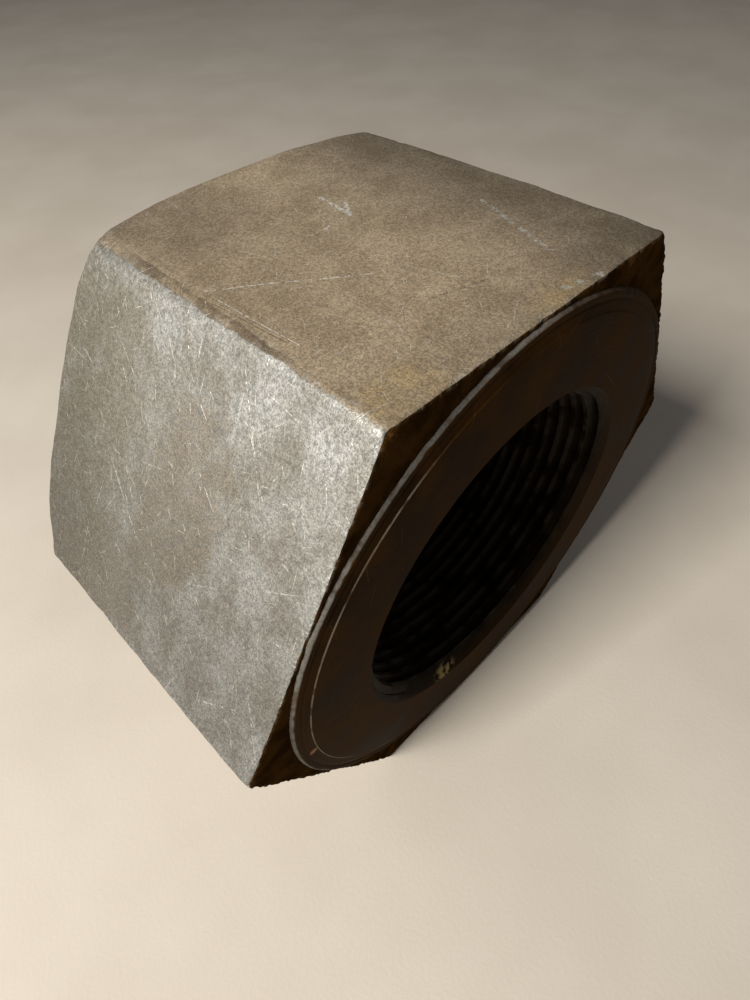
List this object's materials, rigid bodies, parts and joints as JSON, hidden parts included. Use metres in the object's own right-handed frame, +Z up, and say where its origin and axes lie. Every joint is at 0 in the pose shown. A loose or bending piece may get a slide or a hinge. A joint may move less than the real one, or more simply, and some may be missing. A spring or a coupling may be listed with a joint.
{
  "type": "heavy hex nut",
  "caption": "Large heavy hex nut with a fine right-hand thread, a raised round bearing pad and a chamfered crown, lying on one flat.",
  "frame": {"origin": "on the thread axis, halfway between the bearing face and the crown", "axes": "+Z up with the nut lying on a flat, thread axis along Y, bearing face towards -Y and crown towards +Y"},
  "size_m": [0.1336, 0.076, 0.116],
  "materials": {
    "forged_steel": "forged steel, dull grey-brown oxide with pale rubbed patches and fine scratches, machined bearing face and thread"
  },
  "bodies": {
    "root": {"hex_nut": "forged_steel"}
  },
  "joints": []
}
